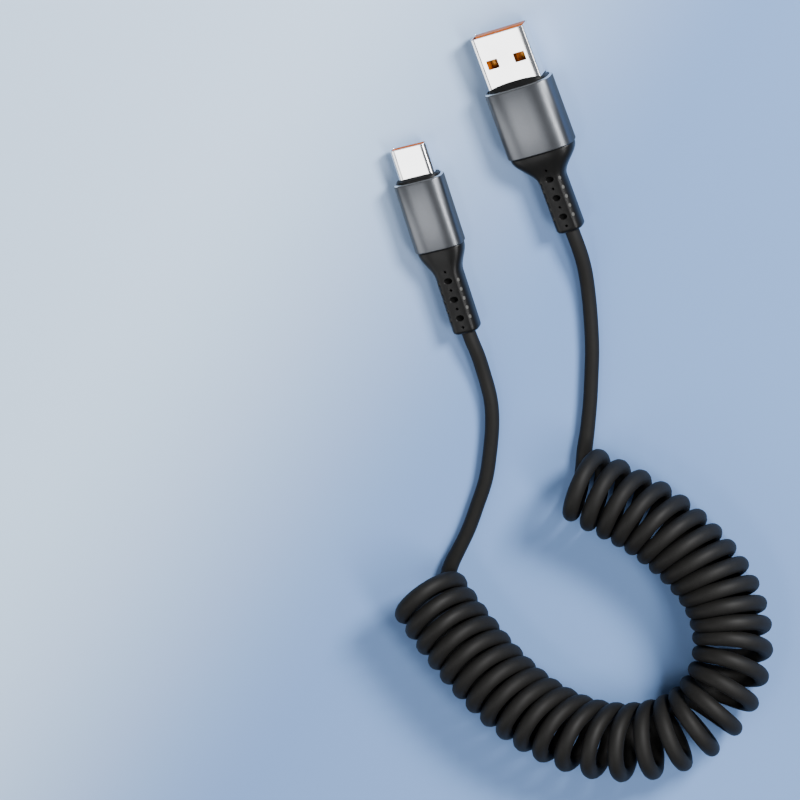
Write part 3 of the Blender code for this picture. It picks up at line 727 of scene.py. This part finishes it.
bm = bmesh.new()
for side in (1, -1):
    for i in range(SPRING_COUNT):
        x = (i - (SPRING_COUNT - 1) / 2) * SPRING_PITCH
        walls = [[bm.verts.new(((x + dx) * MM, (insert_front - back) * MM, side * up * MM))
                  for back, up in SPRING_SIDE] for dx in (-SPRING_WIDTH / 2, SPRING_WIDTH / 2)]
        for wall in walls:
            bm.faces.new(wall)
        for j in range(len(SPRING_SIDE)):
            k = (j + 1) % len(SPRING_SIDE)
            bm.faces.new((walls[0][j], walls[1][j], walls[1][k], walls[0][k]))
bmesh.ops.recalc_face_normals(bm, faces=bm.faces)
mesh = bpy.data.meshes.new("phone_plug_springs")
bm.to_mesh(mesh)
bm.free()
pieces["phone springs"] = place(finish_mesh("phone_plug_springs", mesh), "phone_plug", "contacts")
print("insert and", 2 * SPRING_COUNT, "contact springs")

# %% [markdown]
# ## What the cord is
# To Blender the cord is a mesh like any other.

# %% [markdown]
# ## Grain
# Grain is the fine tooth of a moulded, blasted or extruded surface, which breaks up its shine. It is on
# every surface here, so it is a node group, built once and placed in each material with values of its own.
# Noise alone gives a soft tooth, and cells give a pebbled one, so the group mixes the two.

# %% Grain, a shared node group
GRAINS_PER_SPECKLE = 7.0


def new_group(name, inputs, outputs):
    """Empty shader group with number and vector inputs and number outputs."""
    group = bpy.data.node_groups.new(name, "ShaderNodeTree")
    for socket, kind, value in inputs:
        made = group.interface.new_socket(socket, in_out="INPUT", socket_type=kind)
        if value is not None:
            made.default_value = value
    for socket in outputs:
        group.interface.new_socket(socket, in_out="OUTPUT", socket_type="NodeSocketFloat")
    return group, group.nodes.new("NodeGroupInput"), group.nodes.new("NodeGroupOutput")


def grain_group():
    """Fine tooth of a surface: Height for a bump, and Speckle for small changes of colour and gloss."""
    group, given, made = new_group("surface grain", [
        ("Place", "NodeSocketVector", None), ("Grains per Metre", "NodeSocketFloat", 8000.0),
        ("Coarseness", "NodeSocketFloat", 0.5)], ("Height", "Speckle"))
    fine = group.nodes.new("ShaderNodeTexNoise")
    fine.inputs["Detail"].default_value = 2.0
    cells = group.nodes.new("ShaderNodeTexVoronoi")
    mix = group.nodes.new("ShaderNodeMix")
    coarse = group.nodes.new("ShaderNodeTexNoise")
    coarse.inputs["Detail"].default_value = 3.0
    divide = group.nodes.new("ShaderNodeMath")
    divide.operation = "DIVIDE"
    divide.inputs[1].default_value = GRAINS_PER_SPECKLE
    link = group.links.new
    for node in (fine, cells, coarse):
        link(given.outputs["Place"], node.inputs["Vector"])
    link(given.outputs["Grains per Metre"], fine.inputs["Scale"])
    link(given.outputs["Grains per Metre"], cells.inputs["Scale"])
    link(given.outputs["Grains per Metre"], divide.inputs[0])
    link(divide.outputs[0], coarse.inputs["Scale"])
    link(given.outputs["Coarseness"], mix.inputs["Factor"])
    link(fine.outputs["Fac"], mix.inputs["A"])
    link(cells.outputs["Distance"], mix.inputs["B"])
    link(mix.outputs["Result"], made.inputs["Height"])
    link(coarse.outputs["Fac"], made.inputs["Speckle"])
    return group


GRAIN = grain_group()
print("group:", GRAIN.name)

# %% [markdown]
# ## Smudges
# Smudges are the slow changes of gloss that handling leaves. A painted mask could place each one. Here they
# need no places of their own, so a noise of large patches makes them, with its middle values spread out
# until clean and handled patches part.

# %% Smudges, a shared node group
def smudge_group():
    """Slow changes of gloss: Smudge goes from 0, clean, to 1, handled."""
    group, given, made = new_group("handling smudges", [
        ("Place", "NodeSocketVector", None), ("Patches per Metre", "NodeSocketFloat", 120.0)], ("Smudge",))
    patches = group.nodes.new("ShaderNodeTexNoise")
    patches.inputs["Detail"].default_value = 4.0
    patches.inputs["Roughness"].default_value = 0.6
    spread = group.nodes.new("ShaderNodeMapRange")
    spread.inputs["From Min"].default_value = 0.35
    spread.inputs["From Max"].default_value = 0.7
    link = group.links.new
    link(given.outputs["Place"], patches.inputs["Vector"])
    link(given.outputs["Patches per Metre"], patches.inputs["Scale"])
    link(patches.outputs["Fac"], spread.inputs["Value"])
    link(spread.outputs["Result"], made.inputs["Smudge"])
    return group


SMUDGES = smudge_group()
print("group:", SMUDGES.name)

# %% [markdown]
# ## How a finish is put together
# All finishes here differ in the same few ways: between which two colours and which two degrees of gloss
# they wander, and how fine and how deep their grain is. So one function builds the nodes, and each finish
# is one call of it. What is the same all over a surface is set on the shader's own sockets.

# %% A finish from grain and smudges
BUMP_HEIGHT = 0.02                          # of the grain, in millimetres


def finish(name, colours, roughness, grains, bump, coarseness=0.5, patches=120.0, stretch=(1, 1, 1),
           metallic=0.0, **fixed):
    """Principled material whose colour and gloss wander between two values, with grain as its bump.

    grains is how many of them there are in a metre, and bump is how strongly they show. stretch pulls the
    grain out along an axis, as drawing does. fixed holds values for the shader's own sockets.
    """
    mat = bpy.data.materials.new(name)
    mat.use_nodes = True
    nodes, link = mat.node_tree.nodes, mat.node_tree.links.new
    shader = nodes["Principled BSDF"]
    shader.inputs["Metallic"].default_value = metallic
    for socket, value in fixed.items():
        shader.inputs[socket.replace("_", " ")].default_value = value
    here = nodes.new("ShaderNodeTexCoord").outputs["Object"]
    pull = nodes.new("ShaderNodeMapping")
    pull.inputs["Scale"].default_value = stretch
    grain, smudge = nodes.new("ShaderNodeGroup"), nodes.new("ShaderNodeGroup")
    grain.node_tree, smudge.node_tree = GRAIN, SMUDGES
    grain.inputs["Grains per Metre"].default_value = grains
    grain.inputs["Coarseness"].default_value = coarseness
    smudge.inputs["Patches per Metre"].default_value = patches
    link(here, pull.inputs["Vector"])
    link(pull.outputs["Vector"], grain.inputs["Place"])
    link(here, smudge.inputs["Place"])
    colour = nodes.new("ShaderNodeMix")
    colour.data_type = "RGBA"
    colour.inputs["A"].default_value, colour.inputs["B"].default_value = ((*c, 1.0) for c in colours)
    link(grain.outputs["Speckle"], colour.inputs["Factor"])
    link(colour.outputs["Result"], shader.inputs["Base Color"])
    gloss = nodes.new("ShaderNodeMapRange")
    gloss.inputs["To Min"].default_value, gloss.inputs["To Max"].default_value = roughness
    link(smudge.outputs["Smudge"], gloss.inputs["Value"])
    link(gloss.outputs["Result"], shader.inputs["Roughness"])
    tooth = nodes.new("ShaderNodeBump")
    tooth.inputs["Strength"].default_value = bump
    tooth.inputs["Distance"].default_value = BUMP_HEIGHT * MM
    link(grain.outputs["Height"], tooth.inputs["Height"])
    link(tooth.outputs["Normal"], shader.inputs["Normal"])
    return mat


print("a finish wanders with", SMUDGES.name, "and takes its tooth from", GRAIN.name)

# %% [markdown]
# ## The finishes
# Each finish is named after what it is made of. The blacks are not one black: the jacket is matte and a
# touch brown, the boots are satin, the holders are plain moulded plastic. The sleeve's dye lies on a
# blasted surface, so its tooth is in every direction, while the nickel has faint lines from drawing.

# %% Make the finishes
FINISHES = {
    "jacket": finish(
        "soft matte jacket", [(0.0055, 0.0053, 0.0049), (0.0085, 0.0081, 0.0075)], (0.56, 0.68), 6000, 0.35,
        patches=60, Specular_IOR_Level=0.19),
    "rubber": finish(
        "satin moulded rubber", [(0.003, 0.003, 0.003), (0.005, 0.0049, 0.0048)], (0.33, 0.40), 9000, 0.25,
        Specular_IOR_Level=0.19),
    # Down in the holes: rougher rubber, coloured darker as painted shade.
    "rough rubber with painted shade": finish(
        "rough rubber inside the holes, darkened as painted shade", [(0.002, 0.002, 0.002), (0.004, 0.004, 0.004)], (0.85, 0.95), 9000,
        0.4, Specular_IOR_Level=0.1),
    "pale rubber": finish(
        "pale rubber in the pips", [(0.062, 0.062, 0.060), (0.095, 0.095, 0.092)], (0.55, 0.65), 9000,
        0.2, Specular_IOR_Level=0.1),
    "aluminium": finish(
        "grey blasted aluminium", [(0.125, 0.132, 0.145), (0.138, 0.145, 0.158)], (0.31, 0.35), 12000, 0.06,
        metallic=1.0, Specular_Tint=(0.62, 0.56, 0.48, 1.0)),
    "cut rim": finish(
        "diamond-cut rim", [(0.60, 0.61, 0.63), (0.68, 0.69, 0.70)], (0.18, 0.26), 5000, 0.2,
        stretch=(0.2, 4, 0.2), metallic=1.0),
    "nickel": finish(
        "bright nickel", [(0.82, 0.82, 0.83), (0.88, 0.88, 0.88)], (0.08, 0.15), 6000, 0.08,
        stretch=(1.5, 0.08, 1.5), metallic=1.0),
    "orange": finish(
        "orange moulded plastic", [(0.46, 0.098, 0.001), (0.54, 0.122, 0.002)], (0.36, 0.48), 7000, 0.2,
        Subsurface_Weight=0.05, Subsurface_Scale=0.0005, Specular_IOR_Level=0.3),
    "gold": finish(
        "gold plating", [(0.28, 0.10, 0.016), (0.36, 0.15, 0.028)], (0.34, 0.46), 6000, 0.15,
        stretch=(2, 0.2, 2), metallic=1.0),
    "holder": finish(
        "black moulded plastic", [(0.005, 0.005, 0.005), (0.008, 0.008, 0.0082)], (0.34, 0.46), 8000, 0.2,
        Specular_IOR_Level=0.2),
}
print("finishes:", sorted(FINISHES))

# %% [markdown]
# ## Which piece gets which finish
# A piece of one material has one slot. The sleeves and the boots were given faces for a second and a third
# slot when they were made, and here those slots get their materials. The orange tongue and its gold contacts
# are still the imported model's own meshes, so only their materials are new.

# %% Put the finishes on
CONTACT_COUNT = 4
dressed = []


def dress(piece, *names):
    """Give a piece its finishes, one for each of its material slots.

    The slots aren't cleared first, because that would forget which faces use which slot.
    """
    materials = piece.data.materials
    for slot, name in enumerate(names):
        if slot < len(materials):
            materials[slot] = FINISHES[name]
        else:
            materials.append(FINISHES[name])
    dressed.append(piece)


dress(cord, "jacket")
for plug in ("charger", "phone"):
    # The sleeve's third slot, its bore, takes the black holder finish as painted shade.
    dress(pieces[plug + " sleeve"], "aluminium", "cut rim", "holder")
    dress(pieces[plug + " boot"], "rubber", "rough rubber with painted shade", "pale rubber")
    dress(pieces[plug + " holder"], "holder")
    dress(pieces[plug + " shell"], "nickel")
dress(pieces["phone insert"], "orange")
dress(pieces["phone springs"], "gold")
dress(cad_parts["charger_plug_tongue"], "orange")
for number in range(1, CONTACT_COUNT + 1):
    dress(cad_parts[f"charger_plug_contact_{number}"], "gold")
print("dressed", len(dressed), "pieces")

# %% [markdown]
# ## The floor
# The cable lies on plain pale blue paper. Its colour runs softly from light at the upper left to darker at
# the lower right, which is painted light and painted shade, so that the dark cord stands out everywhere. A
# lamp could make such a ramp too, but it would light the cable unevenly as well. Here the ramp is painted
# into the paper's colour along one direction.

# %% Floor
FLOOR_HALF = 0.9
FLOOR_SQUARES = 24
# The paper's colour goes from painted light to painted shade along one direction.
PAINTED_LIGHT_PAPER, PAINTED_SHADE_PAPER = (0.58, 0.76, 0.99), (0.17, 0.30, 0.59)
PAINTED_FALLOFF_WAY = (0.86, -0.50, 0.0)
PAINTED_FALLOFF_START, PAINTED_FALLOFF_END = -0.065, 0.02         # along that way from the floor's middle, in metres


def floor_finish_with_painted_falloff():
    """Pale blue paper with a faint tooth, whose colour goes from painted light to painted shade along one
    direction.
    """
    paper = finish("pale floor with painted light falloff", [PAINTED_LIGHT_PAPER, PAINTED_SHADE_PAPER], (0.75, 0.85), 700, 0.1, patches=6)
    nodes, link = paper.node_tree.nodes, paper.node_tree.links.new
    across, painted_falloff = nodes.new("ShaderNodeVectorMath"), nodes.new("ShaderNodeMapRange")
    across.operation = "DOT_PRODUCT"
    across.inputs[1].default_value = PAINTED_FALLOFF_WAY
    painted_falloff.inputs["From Min"].default_value, painted_falloff.inputs["From Max"].default_value = PAINTED_FALLOFF_START, PAINTED_FALLOFF_END
    painted_falloff.interpolation_type = "SMOOTHSTEP"
    link(nodes["Texture Coordinate"].outputs["Object"], across.inputs[0])
    link(across.outputs["Value"], painted_falloff.inputs["Value"])
    link(painted_falloff.outputs["Result"], nodes["Mix"].inputs["Factor"])
    return paper


bm = bmesh.new()
bmesh.ops.create_grid(bm, x_segments=FLOOR_SQUARES, y_segments=FLOOR_SQUARES, size=FLOOR_HALF)
mesh = bpy.data.meshes.new("floor")
bm.to_mesh(mesh)
bm.free()
floor = bpy.data.objects.new("floor", mesh)
floor.location = (LOOKED_AT.x, LOOKED_AT.y, 0)
mesh.materials.append(floor_finish_with_painted_falloff())
bpy.context.scene.collection.objects.link(floor)
print("floor", 2 * FLOOR_HALF, "m wide")

# %% [markdown]
# ## The lamps
# Large soft lamps show the shapes without a mood of their own. One hangs where the flat of a shell mirrors
# it to the camera, so the nickel goes white. A long narrow one draws the bright band along each sleeve: it
# stands where a surface that leans 28 degrees to the right mirrors it. The key lamp at the upper right gives
# the shadows. The lamp at the left and the even light of the room keep the dark sides from going black.

# %% Lamps
LAMPS = [                                   # name, the way to it, metres to it, its sides in metres, watts
    ("mirrored lamp", (-0.21, -0.27, 0.92), 0.97, (0.26, 0.40), 1.65),
    ("band lamp", (0.62, -0.02, 0.785), 1.0, (0.18, 0.70), 6.5),
    ("key lamp", (0.62, 0.60, 0.62), 1.10, (0.22, 0.22), 22.0),
    ("left lamp", (-0.66, -0.50, 0.55), 1.0, (0.60, 0.45), 2.4)]
ROOM_COLOUR, ROOM_STRENGTH = (0.70, 0.73, 0.78, 1.0), 0.30


def lamp(name, toward, distance, sides, watts):
    """Rectangular soft lamp that faces the middle of the cable. Its second side runs the way the plugs do."""
    toward = Vector(toward).normalized()
    plug_heading = PLUG_PLACES["charger_plug"][1]
    across = Vector((math.sin(plug_heading), -math.cos(plug_heading), 0))
    across = (across - across.dot(toward) * toward).normalized()
    data = bpy.data.lights.new(name, "AREA")
    data.shape, (data.size, data.size_y) = "RECTANGLE", sides
    data.energy = watts
    light = bpy.data.objects.new(name, data)
    light.matrix_world = (Matrix.Translation(LOOKED_AT + toward * distance)
                          @ Matrix((across, toward.cross(across), toward)).transposed().to_4x4())
    bpy.context.scene.collection.objects.link(light)


for values in LAMPS:
    lamp(*values)
world = bpy.data.worlds.new("even room")
world.use_nodes = True
background = world.node_tree.nodes["Background"]
background.inputs["Color"].default_value = ROOM_COLOUR
background.inputs["Strength"].default_value = ROOM_STRENGTH
bpy.context.scene.world = world
print(len(LAMPS), "lamps and an evenly lit room")

# %% Finish
bpy.context.view_layer.update()
